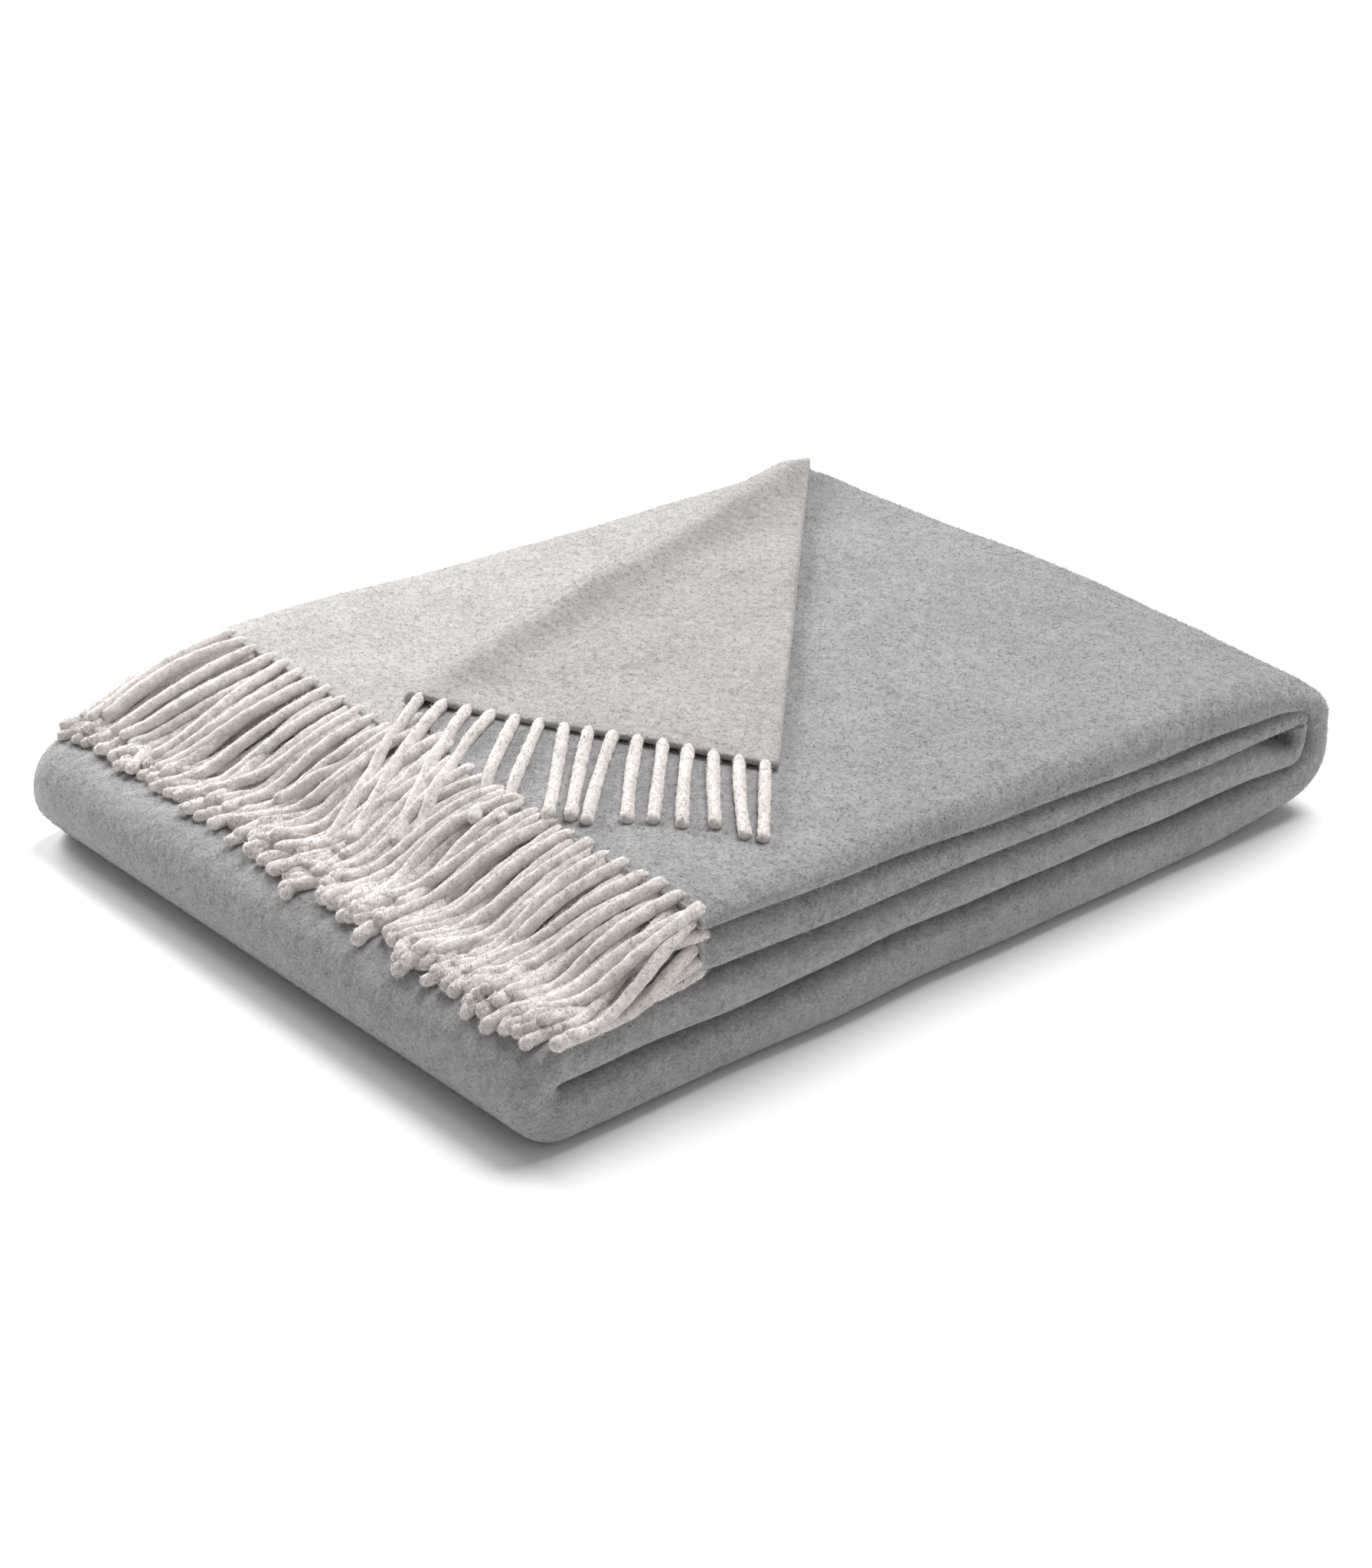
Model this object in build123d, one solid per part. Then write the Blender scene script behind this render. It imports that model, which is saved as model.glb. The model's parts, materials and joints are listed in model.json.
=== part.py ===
"""Folded throw blanket with fringed ends and one turned-over corner.

The cloth is folded in four across its width (four plies), and that strip is folded in four
along its length (four panels). From the floor up the panels are bottom, lower, upper and top.
The strip runs: fringe, top panel, outer end fold, bottom panel, left fold, lower panel,
inner end fold, upper panel, fringe. Ply 1 is the ply on the outside of the strip.

X runs along the blanket from the left fold to the end folds, Y from the front folds to the
selvedges, Z up. The origin is under the middle of the blanket, on the floor.
"""
import os
from math import cos, radians, sin

from build123d import *

# Driving dimensions, mm
LENGTH = 431.0            # left fold to end folds, a quarter of the cloth's length and the folds' bulge
WIDTH = 325.0             # front folds to selvedges, a quarter of the cloth's width
BOTTOM_PANEL = 22.4       # thickness of each panel of four plies: the lowest lies loosest
LOWER_PANEL = 18.5
UPPER_PANEL = 13.4
TOP_PANEL = 15.3
PARTING_GAP = 0.4         # air between the two halves that open like a book
HEM_X = 86.0              # where both fringed ends stop, from the left fold
FRONT_FOLD_DEPTH = 6.4    # how far the rounded front folds reach back
BACK_FOLD_DEPTH = 3.2
END_SHRINK = 4.0          # the end folds are narrower than the panels by this at each side

STRAND_WIDTH = 5.5        # one twisted fringe strand
STRAND_PITCH = 10.8
STRANDS_PER_ROW = 30
FIRST_STRAND_Y = 6.0
FRINGE_ROWS = 8           # four plies at each fringed end, both ends at the left
FRINGE_CLEARANCE = 0.75   # between the fringe and the left fold that it drapes over
FRINGE_TIP_STEP = 1.25    # thickness of one row near its tips
FRINGE_SHOULDER_X = 52.0  # where the rows leave the hem's slope and lie down
FRINGE_TIP_ANGLE = 38.0   # how far round the left fold the tips reach, degrees

FOLD_START = (86.0, 200.0)     # line that the corner is turned over along, on the top panel
FOLD_END = (394.0, 301.1)
FLAP_HEM_START = 15.8          # along that line, where the turned hem begins
FLAP_CORNER = (170.0, 66.0)    # tip of the turned corner
FLAP_THICKNESS = 4.3
FLAP_GAP = 0.3                 # air under the turned corner
FLAP_STRANDS = 15
FLAP_STRAND_LENGTH = 58.0
FLAP_STRAND_ANGLE = 225.0      # heading of the turned corner's strands, degrees from +X

# Heights of the panels and radii of the folds, from the driving dimensions
z_bottom = 0.0
z_lower = z_bottom + BOTTOM_PANEL
z_parting = z_lower + LOWER_PANEL
z_upper = z_parting + PARTING_GAP
z_top = z_upper + UPPER_PANEL
z_surface = z_top + TOP_PANEL
left_radius = z_parting / 2
outer_radius = z_surface / 2
inner_radius = (z_top - z_lower) / 2
ends_x = LENGTH - outer_radius

PANELS = {
    # name: floor of the panel, its thickness, left end, whether ply 1 is at its top
    "bottom": (z_bottom, BOTTOM_PANEL, left_radius, False),
    "lower": (z_lower, LOWER_PANEL, left_radius, True),
    "upper": (z_upper, UPPER_PANEL, HEM_X, False),
    "top": (z_top, TOP_PANEL, HEM_X, True),
}


def prism(points, height, direction):
    """Solid swept from a closed polygon of 3D points."""
    outline = Polyline(*points, close=True)
    return extrude(make_face(outline), amount=height, dir=direction)


def slab(outline, z_low, thickness):
    """Level slab with the given outline in plan."""
    return prism([(x, y, z_low) for x, y in outline], thickness, (0, 0, 1))


def along_y(profile, y_low, y_high):
    """Solid swept along Y from edges drawn in the XZ plane."""
    face = Pos(0, y_low, 0) * make_face(profile)
    return extrude(face, amount=y_high - y_low, dir=(0, 1, 0))


def fold_line_y(x):
    """Y of the turned corner's fold line at a given X."""
    slope = (FOLD_END[1] - FOLD_START[1]) / (FOLD_END[0] - FOLD_START[0])
    return FOLD_START[1] + slope * (x - FOLD_START[0])


def ply(panel, number):
    """One flat ply of a panel; the top panel's ply 1 stops at the turned corner's fold line."""
    z_low, thickness, x_left, first_on_top = PANELS[panel]
    step = thickness / 4
    level = 4 - number if first_on_top else number - 1
    y_back = WIDTH if number <= 2 else WIDTH - BACK_FOLD_DEPTH
    back_left, back_right = y_back, y_back
    if panel == "top" and number == 1:
        back_left, back_right = fold_line_y(x_left) - 0.6, fold_line_y(ends_x) - 0.6
    outline = [(x_left, FRONT_FOLD_DEPTH), (ends_x, FRONT_FOLD_DEPTH), (ends_x, back_right), (x_left, back_left)]
    return slab(outline, z_low + level * step, step)


def fold_bar(x_left, y_root, y_outer, z_low, z_high, y_inner=None, z_wall=0.0):
    """Rounded fold along X, solid or hollowed for the fold that lies inside it."""
    z_middle = (z_low + z_high) / 2
    outer = ThreePointArc((x_left, y_root, z_low), (x_left, y_outer, z_middle), (x_left, y_root, z_high))
    edges = outer + Line((x_left, y_root, z_low), (x_left, y_root, z_high))
    if y_inner is not None:
        low, high = (x_left, y_root, z_low + z_wall), (x_left, y_root, z_high - z_wall)
        inner = ThreePointArc(low, (x_left, y_inner, z_middle), high)
        edges = outer + Line((x_left, y_root, z_high), high) + inner + Line(low, (x_left, y_root, z_low))
    return extrude(make_face(edges), amount=ends_x - x_left, dir=(1, 0, 0))


def front_folds(panel):
    """Outer fold, which joins plies 1 and 4, and the inner one within it, which joins 2 and 3."""
    z_low, thickness, x_left, _ = PANELS[panel]
    z_high = z_low + thickness
    step = thickness / 4
    middle_y = FRONT_FOLD_DEPTH / 2
    outer = fold_bar(x_left, FRONT_FOLD_DEPTH, 0.0, z_low, z_high, middle_y, step)
    inner = fold_bar(x_left, FRONT_FOLD_DEPTH, middle_y, z_low + step, z_high - step)
    return outer, inner


def back_fold(panel):
    """Fold at the back, which joins plies 3 and 4."""
    z_low, thickness, x_left, first_on_top = PANELS[panel]
    z_start = z_low if first_on_top else z_low + thickness / 2
    return fold_bar(x_left, WIDTH - BACK_FOLD_DEPTH, WIDTH, z_start, z_start + thickness / 2)


def left_fold():
    """U-turn at the left that joins the bottom and lower panels, all four plies."""
    low, high = (left_radius, 0, z_bottom), (left_radius, 0, z_parting)
    outline = ThreePointArc(low, (0, 0, left_radius), high) + Line(low, high)
    return along_y(outline, END_SHRINK, WIDTH - END_SHRINK)


def end_folds():
    """U-turns at the right: the outer joins top and bottom panels, the inner the two between."""
    outer_low, outer_high = (ends_x, 0, z_bottom), (ends_x, 0, z_surface)
    inner_low, inner_high = (ends_x, 0, z_lower), (ends_x, 0, z_top)
    outer_arc = ThreePointArc(outer_low, (LENGTH, 0, outer_radius), outer_high)
    inner_arc = ThreePointArc(inner_low, (ends_x + inner_radius, 0, z_lower + inner_radius), inner_high)
    walls = Line(outer_low, inner_low) + Line(outer_high, inner_high)
    outer = along_y(outer_arc + inner_arc + walls, END_SHRINK, WIDTH - END_SHRINK)
    inner = along_y(inner_arc + Line(inner_low, inner_high), END_SHRINK, WIDTH - END_SHRINK)
    return outer, inner


def halves(solid):
    """The parts of an end fold below and above the gap that the blanket opens at."""
    reach = 2 * LENGTH
    low_side = Pos(0, 0, z_parting - reach / 2) * Box(reach, reach, reach)
    high_side = Pos(0, 0, z_upper + reach / 2) * Box(reach, reach, reach)
    return solid & low_side, solid & high_side


def fringe_boundary(level):
    """Line in the XZ plane between two rows of strands, from hem to tips, level 0 the lowest."""
    height = z_surface - z_upper
    share = level / FRINGE_ROWS
    tip_radius = left_radius + FRINGE_CLEARANCE + level * FRINGE_TIP_STEP
    level_height = z_upper + UPPER_PANEL * min(share * 2, 1) + TOP_PANEL * max(share * 2 - 1, 0)
    points = [(HEM_X, level_height), (FRINGE_SHOULDER_X, z_upper + 0.1 + 0.7 * height * share)]
    for angle in (0, FRINGE_TIP_ANGLE / 2, FRINGE_TIP_ANGLE):
        x = left_radius - tip_radius * sin(radians(angle))
        z = left_radius + tip_radius * cos(radians(angle))
        points.append((x, z))
    return points


def fringe_row(row):
    """One ply's row of strands, draped over the left fold, every other row half a pitch over.

    The highest row stops where its hem is turned over with the corner.
    """
    section = fringe_boundary(row) + fringe_boundary(row + 1)[::-1]
    y_limit = FOLD_START[1] if row == FRINGE_ROWS - 1 else WIDTH
    strands = []
    for index in range(STRANDS_PER_ROW):
        y = FIRST_STRAND_Y + (index + 0.5 * (row % 2)) * STRAND_PITCH - STRAND_WIDTH / 2
        if y + 1.5 * STRAND_WIDTH < y_limit:
            strands.append(prism([(x, y, z) for x, z in section], STRAND_WIDTH, (0, 1, 0)))
    return Compound(strands)


def flap_hem():
    """Ends of the turned corner's hem in plan, from the fold line to the tip."""
    start_x = FOLD_START[0] + FLAP_HEM_START
    return (start_x, fold_line_y(start_x)), FLAP_CORNER


def corner_flap():
    """Corner of the top panel's ply 1, turned over onto the panel, with a rounded edge at its fold."""
    hem_start, tip = flap_hem()
    flap = slab([hem_start, tip, FOLD_END], z_surface + FLAP_GAP, FLAP_THICKNESS)
    along = Vector(FOLD_END[0] - hem_start[0], FOLD_END[1] - hem_start[1]).normalized()
    rounded = [edge for edge in flap.edges() if abs(edge.tangent_at(0.5).dot(along)) > 0.999]
    return fillet(rounded, 0.49 * FLAP_THICKNESS)


def flap_fringe():
    """Strands along the turned corner's hem."""
    (x0, y0), (x1, y1) = flap_hem()
    hem = Vector(x1 - x0, y1 - y0)
    along = hem.normalized()
    angle = radians(FLAP_STRAND_ANGLE)
    reach = Vector(cos(angle), sin(angle)) * FLAP_STRAND_LENGTH
    strands = []
    for index in range(FLAP_STRANDS):
        root = Vector(x0, y0) + hem * ((index + 0.5) / FLAP_STRANDS)
        corners = [root - along * STRAND_WIDTH / 2, root + along * STRAND_WIDTH / 2]
        corners += [corners[1] + reach, corners[0] + reach]
        strands.append(slab([(c.X, c.Y) for c in corners], z_surface + FLAP_GAP + 0.2, FLAP_THICKNESS - 0.6))
    return Compound(strands)


def write(name, shape):
    """Move a piece into the blanket's own frame and write it."""
    export_step(Pos(-LENGTH / 2, -WIDTH / 2, 0) * shape, f"parts/{name}.step")


os.makedirs("parts", exist_ok=True)

for panel in PANELS:
    for number in range(1, 5):
        write(f"{panel}_panel_ply_{number}", ply(panel, number))
    outer_front, inner_front = front_folds(panel)
    write(f"{panel}_front_fold", outer_front)
    write(f"{panel}_inner_front_fold", inner_front)
    write(f"{panel}_back_fold", back_fold(panel))

write("left_fold", left_fold())
outer_end, inner_end = end_folds()
for name, solid in (("outer", outer_end), ("inner", inner_end)):
    low_half, high_half = halves(solid)
    write(f"{name}_end_fold_low", low_half)
    write(f"{name}_end_fold_high", high_half)

for row in range(FRINGE_ROWS):
    end = "upper" if row < 4 else "top"
    ply_number = row + 1 if row < 4 else FRINGE_ROWS - row
    write(f"{end}_fringe_ply_{ply_number}", fringe_row(row))

write("corner_flap", corner_flap())
write("flap_fringe", flap_fringe())
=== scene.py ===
"""The folded throw blanket as cloth: a two-faced sheet in sixteen plies, a turned corner, fringes.

Shapes are worked out in millimetres from the blanket's near bottom corner: x from the left fold,
y from the front folds, z up. place() moves them into the frame, in metres.
"""
import json
import math

import bpy
import numpy as np
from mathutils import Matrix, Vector
from mathutils.bvhtree import BVHTree


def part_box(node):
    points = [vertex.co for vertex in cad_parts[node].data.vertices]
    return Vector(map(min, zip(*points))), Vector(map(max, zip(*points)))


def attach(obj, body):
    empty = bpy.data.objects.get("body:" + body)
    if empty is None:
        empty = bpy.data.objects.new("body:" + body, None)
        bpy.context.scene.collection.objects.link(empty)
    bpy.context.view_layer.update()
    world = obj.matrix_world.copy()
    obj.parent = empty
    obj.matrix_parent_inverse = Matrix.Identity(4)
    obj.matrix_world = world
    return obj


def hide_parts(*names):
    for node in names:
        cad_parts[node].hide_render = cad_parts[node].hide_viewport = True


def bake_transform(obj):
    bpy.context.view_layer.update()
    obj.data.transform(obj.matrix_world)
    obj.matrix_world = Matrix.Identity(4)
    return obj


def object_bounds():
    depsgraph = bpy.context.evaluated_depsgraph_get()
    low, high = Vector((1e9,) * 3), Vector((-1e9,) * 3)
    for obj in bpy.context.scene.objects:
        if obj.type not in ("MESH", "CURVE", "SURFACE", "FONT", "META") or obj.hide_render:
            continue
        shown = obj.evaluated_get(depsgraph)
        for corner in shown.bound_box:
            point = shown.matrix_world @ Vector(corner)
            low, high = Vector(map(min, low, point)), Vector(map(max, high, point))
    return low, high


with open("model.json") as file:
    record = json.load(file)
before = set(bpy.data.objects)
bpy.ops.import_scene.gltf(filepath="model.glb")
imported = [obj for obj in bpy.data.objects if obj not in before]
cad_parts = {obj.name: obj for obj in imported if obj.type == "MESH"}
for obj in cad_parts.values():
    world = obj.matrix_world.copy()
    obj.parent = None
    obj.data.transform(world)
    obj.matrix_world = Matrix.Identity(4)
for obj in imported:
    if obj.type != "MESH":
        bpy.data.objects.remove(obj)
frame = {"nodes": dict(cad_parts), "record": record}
cad_box = [list(corner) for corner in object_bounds()]

# Measures taken from the frame, mm
CORNER = np.array([cad_box[0][0], cad_box[0][1], 0.0]) * 1000


def node_box(node):
    """A CAD node's lowest and highest corners in mm from the near bottom corner."""
    return [np.array(corner) * 1000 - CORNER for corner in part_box(node)]


WIDTH = (cad_box[1][1] - cad_box[0][1]) * 1000
HEM_X = node_box("top_panel_ply_2")[0][0]
ENDS_X = node_box("top_panel_ply_2")[1][0]
LEFT_X = node_box("left_fold")[1][0]
SEAM_LOW = node_box("bottom_front_fold")[1][2]
PARTING_LOW = node_box("lower_front_fold")[1][2]
PARTING_HIGH = node_box("upper_front_fold")[0][2]
PARTING = (PARTING_LOW + PARTING_HIGH) / 2
SURFACE = node_box("top_front_fold")[1][2]
FLAP_JOINT = next(j for j in frame["record"]["behaviour"]["joints"] if j["name"] == "flap_fold")
FOLD_POINT = (np.array(FLAP_JOINT["pos_m"]) * 1000 - CORNER)[:2]
FOLD_ALONG = -np.array(FLAP_JOINT["axis"])[:2]
FOLD_AWAY = np.array([-FOLD_ALONG[1], FOLD_ALONG[0]])  # from the turned corner towards the back

# The cloth and the yarn, mm
CLOTH = 3.5               # thickness of the brushed cloth
FRONT_ROUND = 11.0        # how far the rounding of the front folds reaches back
BACK_ROUND = 3.4
END_FULLNESS = 2.05       # exponent of the end folds' rounding: 2 is a circle
END_GIRTH = 36            # distance round the outer end fold for each radian of its turn
END_PULL = 2.5            # how far the end folds draw in at the front and at the back
END_DEPTH = {1: 0.97, -1: 0.985}  # how deep the right and the left folds are, against half a round
FRONT_FULLNESS = 2.7
CLEAR = CLOTH / 2 + 0.15  # from the parting of the halves to the nearest ply's middle
OUTER_SELVEDGE = WIDTH - 1  # where ply 1 ends at the back
INNER_SELVEDGE = WIDTH - 3  # where ply 2 ends
PLY_ONE_SHORT = 2.5       # how far in front of the turned corner's fold ply 1 of the top panel ends
PLY_ONE_WIDENS = (404, 440)  # where, past the end of the fold, it is back to its full width
CIRCLE = 2                # fullness of a round fold
LEVEL = 1e-4              # angle of the rows gathered at the parting: just above the level
CELL = 8.5                # size of the sheet's mesh cells where it lies flat


def waves(seed, length, count=9):
    """Smooth random field of x and y, about -1 to 1, with features of the given length in mm."""
    rng = np.random.default_rng(seed)
    angles = rng.uniform(0, math.tau, count)
    numbers = math.tau / (length * rng.uniform(1.2, 2.6, count))
    phases = rng.uniform(0, math.tau, count)

    def field(x, y):
        total = 0.0
        for angle, number, phase in zip(angles, numbers, phases):
            total = total + np.sin(number * (x * math.cos(angle) + y * math.sin(angle)) + phase)
        return total / math.sqrt(count / 2) / 1.6

    return field


def smooth(low, high, value):
    """0 below low, 1 above high, eased between."""
    t = np.clip((value - low) / (high - low), 0, 1)
    return t * t * (3 - 2 * t)


def distances(points):
    """Distance from the start of a line of points to each of them, along the line."""
    return np.concatenate([[0], np.cumsum(np.linalg.norm(np.diff(points, axis=0), axis=1))])


# Heights between the panels

top_waves = waves(1, 70)
top_ripples = waves(2, 26)
upper_waves = waves(3, 60)
lower_waves = waves(4, 60)


def seam_low(x, y):
    """Where the bottom and lower panels meet."""
    return SEAM_LOW + 1.0 + 1.0 * lower_waves(x, y) * smooth(LEFT_X, 90, x)


def parting_low(x):
    """Top of the lower panel, which sinks into the loose inner end fold."""
    return PARTING_LOW - 7.5 * smooth(368, ENDS_X, x)


def seam_high(x, y):
    """Where the upper and top panels meet: the top panel is thin at its hem and thick at its fold."""
    at_hem, fall = 60.5, 10.5
    return at_hem - fall * smooth(70, 330, x) + 0.8 * upper_waves(x, y)


def surface(x, y):
    """Top of the top panel, over the flat of it: it droops at its front, its hem and its right end."""
    swell = 0.9 * top_waves(x, y) + 0.3 * top_ripples(x, y)
    droop = 3.0 * np.exp(-np.maximum(y, 0) / 15) + 2.5 * np.exp(-np.maximum(x - HEM_X + 6, 0) / 12)
    droop = droop + 7.0 * smooth(330, ENDS_X + 25, x) * np.exp(-np.maximum(y, 0) / 60)
    return SURFACE - 0.4 + swell - droop


def end_lift(x, y):
    """How far the bottom panel rises off the floor into its right end fold, most at the front."""
    return 5.5 * smooth(330, ENDS_X + 6, x) * np.exp(-np.maximum(y, 0) / 70)


def ply_share(ply):
    """Share of a panel's depth, counted from its ply 1, at the middle of a ply."""
    return (2 * ply - 1) / 8


def panel_height(panel, share, x, y):
    """Height in a panel at a share of its depth, counted from its ply 1."""
    if panel == "bottom":
        lift = end_lift(x, y)
        return lift + share * (seam_low(x, y) - lift)
    if panel == "lower":
        depth = parting_low(x) - seam_low(x, y)
        return parting_low(x) - np.maximum(share * depth, CLEAR)
    if panel == "upper":
        return PARTING_HIGH + np.maximum(share * (seam_high(x, y) - PARTING_HIGH), CLEAR)
    return surface(x, y) - share * (surface(x, y) - seam_high(x, y))


# The sheet

def half_round(count):
    """Angles from -90 to 90 degrees, without the ends."""
    return np.linspace(-90, 90, count + 2)[1:-1] * math.pi / 180


def full_round(angle, fullness):
    """Point on a rounded end: reach and height, up to 1, at an angle from the level."""
    reach = np.abs(np.cos(angle)) ** (2 / fullness)
    height = np.sign(np.sin(angle)) * np.abs(np.sin(angle)) ** (2 / fullness)
    return reach, height


def width_path():
    """The folded strip's section across the cloth: y, share of the panel's depth, whether it is ply 1."""
    flat = np.linspace(1, 0, int(WIDTH / CELL) + 1)
    back = WIDTH - BACK_ROUND
    one, two, three, four = [ply_share(ply) for ply in (1, 2, 3, 4)]
    ys, shares = [], []

    def run(y_values, share_values):
        ys.extend(y_values)
        shares.extend(share_values + np.zeros(len(y_values)))

    def turn(y_root, depth, share_from, share_to, count, fullness):
        reach, height = full_round(half_round(count), fullness)
        middle, half = (share_from + share_to) / 2, (share_to - share_from) / 2
        run(y_root + depth * reach, middle + half * height)

    run(FRONT_ROUND + (OUTER_SELVEDGE - FRONT_ROUND) * flat, one)
    turn(FRONT_ROUND, CLOTH / 2 + 0.4 - FRONT_ROUND, one, four, 14, FRONT_FULLNESS)
    run(FRONT_ROUND + (back - FRONT_ROUND) * flat[::-1], four)
    turn(back, BACK_ROUND - CLOTH / 2, four, three, 5, CIRCLE)
    run(FRONT_ROUND + (back - FRONT_ROUND) * flat, three)
    turn(FRONT_ROUND, -2.5, three, two, 5, CIRCLE)
    run(FRONT_ROUND + (INNER_SELVEDGE - FRONT_ROUND) * flat[::-1], two)
    return np.array(ys), np.array(shares), np.arange(len(ys)) < len(flat)


def fold_line_y(path_x):
    """Y where ply 1 of the top panel turns over, by distance along the panel and round its end."""
    along = (path_x - FOLD_POINT[0]) / FOLD_ALONG[0]
    line = FOLD_POINT[1] + along * FOLD_ALONG[1] + (fold_bow(along) - PLY_ONE_SHORT) / FOLD_AWAY[1]
    return line + (OUTER_SELVEDGE - line) * smooth(*PLY_ONE_WIDENS, path_x)


front_shift = {name: waves(seed, 45) for name, seed in
               (("bottom", 11), ("lower", 12), ("upper", 13), ("top", 14))}


def edge_shift(panel, x, y):
    """How far a panel's front edge wanders, fading towards the back."""
    sway = 0.5 if panel == "bottom" else 1.1
    return sway * front_shift[panel](x, y * 0) * np.exp(-y / 20) + 0.9 * np.exp(-y / 12)


def end_inset(y):
    """How much sooner the top panel starts to round over at its right end, most at the front."""
    return 12.0 * np.exp(-y / 130)


def squeeze_ply_one(y, ply_one, limit):
    """Draw ply 1 of the top panel in, so that it ends where the corner turns over."""
    squeeze = (limit - FRONT_ROUND) / (OUTER_SELVEDGE - FRONT_ROUND)
    return np.where(ply_one, FRONT_ROUND + (y - FRONT_ROUND) * squeeze, y)


def flat_rows(panel, xs, path):
    """Rows of sheet points over the flat of a panel, one for each x."""
    ys, shares, ply_one = path
    rows = []
    for x in xs:
        y = ys.copy()
        if panel == "top":
            y = squeeze_ply_one(y, ply_one, fold_line_y(x))
        y = y + edge_shift(panel, x, y)
        at = x + 0 * y
        if panel == "top":
            at = at - end_inset(y) * smooth(300, ENDS_X, x)
        if panel in ("top", "upper"):
            hem = np.where(ply_one & (panel == "top"), hem_x(y, turned=True), hem_x(y))
            at = at + (hem - HEM_X) * np.exp(-(x - HEM_X) / 22)
        rows.append(np.stack([at, y, panel_height(panel, shares, at, y)], 1))
    return rows


def outer_end_fullness(y, angle):
    """How much fuller than the others the outer end fold is: more at the back, less above in front."""
    softer = 0.5 * (1 - smooth(20, 240, y)) * (angle > 0)
    return 0.3 * smooth(60, 260, y) - softer


def outer_end_shape(x, y, z, height, reach):
    """The outer end fold's own shape: drawn in above, fuller and off the floor below, most in front."""
    x = x - end_inset(y) * (height > 0) * (1 - reach)
    x = x + 15.0 * np.exp(-y / 110) * np.maximum(-height, 0) ** 2 * reach
    z = z + 4.0 * np.exp(-y / 110) * smooth(0, 0.9, -height) * reach
    return x, z


def end_sway(panels, x_root, y, angle):
    """How far a U-turn's front edge wanders: it goes over from one panel's wandering to the other's."""
    share_up = (math.sin(angle) + 1) / 2
    sway_up, sway_down = [edge_shift(panel, x_root, y) for panel in panels]
    return share_up * sway_up + (1 - share_up) * sway_down


def end_row(panels, x_root, toward, step, path):
    """One row of sheet points across a U-turn: see end_turn()."""
    y, shares, ply_one = path
    angle, offset = step
    outer = panels[0] == "top"
    if outer:
        y = squeeze_ply_one(y, ply_one, fold_line_y(ENDS_X + END_GIRTH * (math.pi / 2 - angle)))
    y = y + end_sway(panels, x_root, y, angle)
    high, low = [panel_height(panel, shares, x_root + 0 * y, y) for panel in panels]
    middle = PARTING + 0 * y if toward > 0 else (high + low) / 2
    extra = outer_end_fullness(y, angle) if outer else 0
    reach, height = full_round(angle, END_FULLNESS + extra)
    z = middle + height * np.where(height > 0, high - middle, middle - low)
    if offset is not None:
        z = PARTING + offset + 0 * y
        reach = 1.0
    pull = END_PULL * reach ** 2
    y = y + pull * np.exp(-y / 30) - pull * np.exp(-(WIDTH - y) / 30)
    x = x_root + toward * reach * (high - low) / 2 * END_DEPTH[toward]
    if outer:
        x, z = outer_end_shape(x, y, z, height, reach)
    return np.stack([x, y, z], 1)


def end_turn(panels, x_root, toward, steps, path):
    """Rows of sheet points round the U-turn between an upper and a lower panel, from the top down.

    Each step is an angle from the level and, for the rows gathered at the parting of the halves,
    a height over it. toward is 1 for a turn at the right and -1 at the left.
    """
    return [end_row(panels, x_root, toward, step, path) for step in steps]


def turn_steps(degrees, gathered=()):
    """Steps of a U-turn for end_turn(): angles above the level, gathered rows, angles below it."""
    angles = np.radians(degrees)
    above = [(angle, None) for angle in angles]
    below = [(-angle, None) for angle in angles[::-1]]
    return above + [(LEVEL, offset) for offset in gathered] + below


def sheet_rows():
    """The whole sheet's middle surface, row by row from one fringed hem to the other."""
    path = width_path()
    long_flat = np.linspace(LEFT_X, ENDS_X, int((ENDS_X - LEFT_X) / CELL) + 1)
    hem_flat = np.linspace(HEM_X, ENDS_X, int((ENDS_X - HEM_X) / CELL) + 1)
    half_gap = PARTING_HIGH - PARTING
    gathered = np.linspace(half_gap, -half_gap, 9)
    outer = turn_steps([83, 75, 66, 57, 48, 39, 30, 21, 12, 5], gathered)
    inner = turn_steps([78, 62, 46, 30, 14], gathered)
    left = turn_steps([82, 72, 60, 48, 36, 24, 12])
    left.insert(len(left) // 2, (0.0, None))
    rows = flat_rows("top", hem_flat, path)
    rows += end_turn(("top", "bottom"), ENDS_X, 1, outer, path)
    rows += flat_rows("bottom", long_flat[::-1], path)
    rows += end_turn(("lower", "bottom"), LEFT_X, -1, left, path)[::-1]
    rows += flat_rows("lower", long_flat, path)
    rows += end_turn(("upper", "lower"), ENDS_X, 1, inner, path)[::-1]
    rows += flat_rows("upper", hem_flat[::-1], path)
    return np.array(rows)


def place(points):
    """Corner millimetres into the frame's metres."""
    return (np.asarray(points) + CORNER) / 1000


# Meshes

def new_piece(name, points, faces, materials, face_slots=None):
    """A smooth-shaded mesh object from points in corner millimetres."""
    mesh = bpy.data.meshes.new(name)
    mesh.from_pydata(place(points).tolist(), [], [tuple(face) for face in faces])
    for material in materials:
        mesh.materials.append(material)
    if face_slots is not None:
        mesh.polygons.foreach_set("material_index", np.asarray(face_slots, dtype=np.int32))
    mesh.polygons.foreach_set("use_smooth", np.ones(len(mesh.polygons), dtype=bool))
    mesh.update()
    piece = bpy.data.objects.new(name, mesh)
    bpy.context.scene.collection.objects.link(piece)
    return piece


def unit(vectors):
    """Vectors along the last axis scaled to length 1."""
    return vectors / np.maximum(np.linalg.norm(vectors, axis=-1, keepdims=True), 1e-9)


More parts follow.
